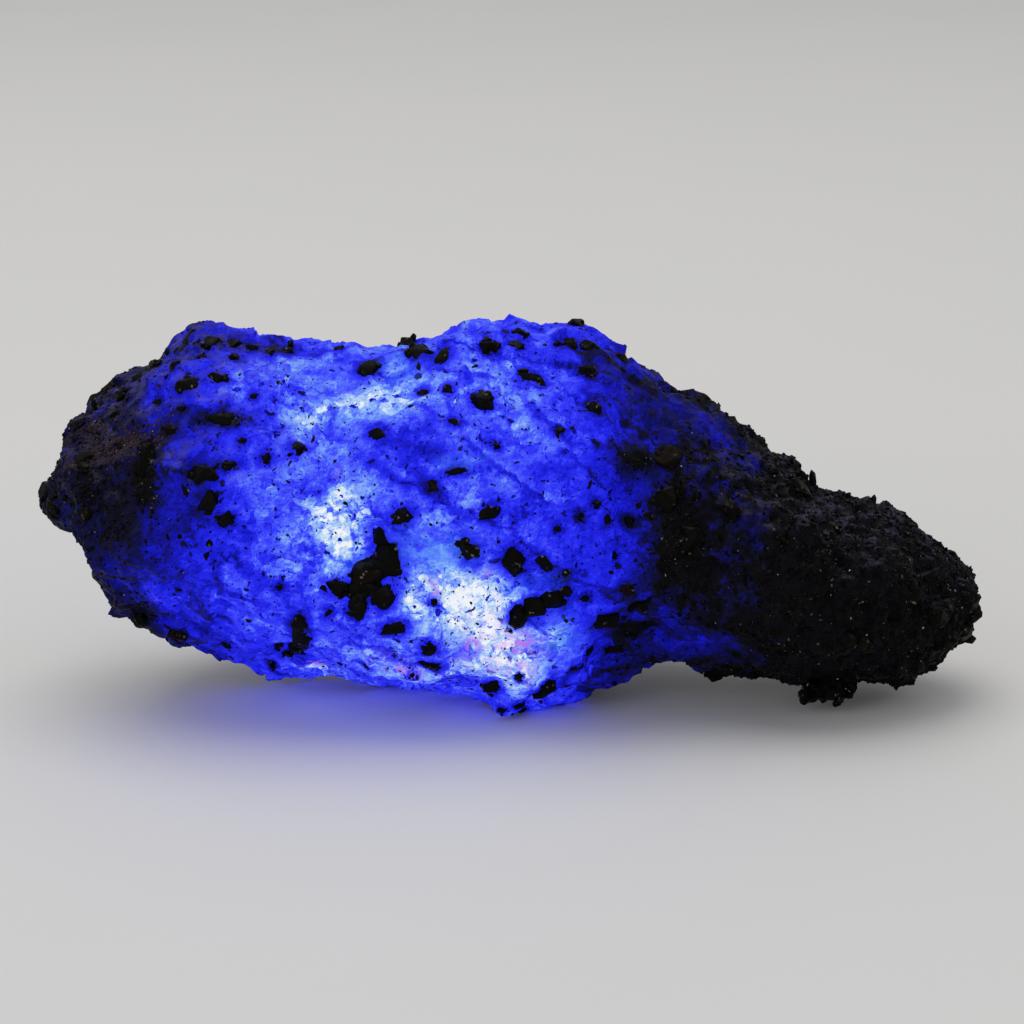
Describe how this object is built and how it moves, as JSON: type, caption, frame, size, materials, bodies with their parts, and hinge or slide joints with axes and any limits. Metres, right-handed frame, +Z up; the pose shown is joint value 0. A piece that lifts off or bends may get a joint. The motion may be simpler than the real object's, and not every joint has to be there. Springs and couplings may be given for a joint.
{
  "type": "rough sapphire",
  "caption": "Long weathered lump of rough blue sapphire with dark mineral grains set in its surface and a black crusted end; it lies on a small flat spot.",
  "frame": {"origin": "on the ground, under the middle of the stone's bounding box", "axes": "+X along the stone towards its black crusted end, +Y away from the picture's viewer, +Z up"},
  "size_m": [0.075, 0.0285, 0.0303],
  "materials": {
    "sapphire": "rough unpolished corundum, translucent blue with dark grains and a dusty black crust"
  },
  "bodies": {
    "root": {"rough_sapphire": "sapphire"}
  },
  "joints": []
}
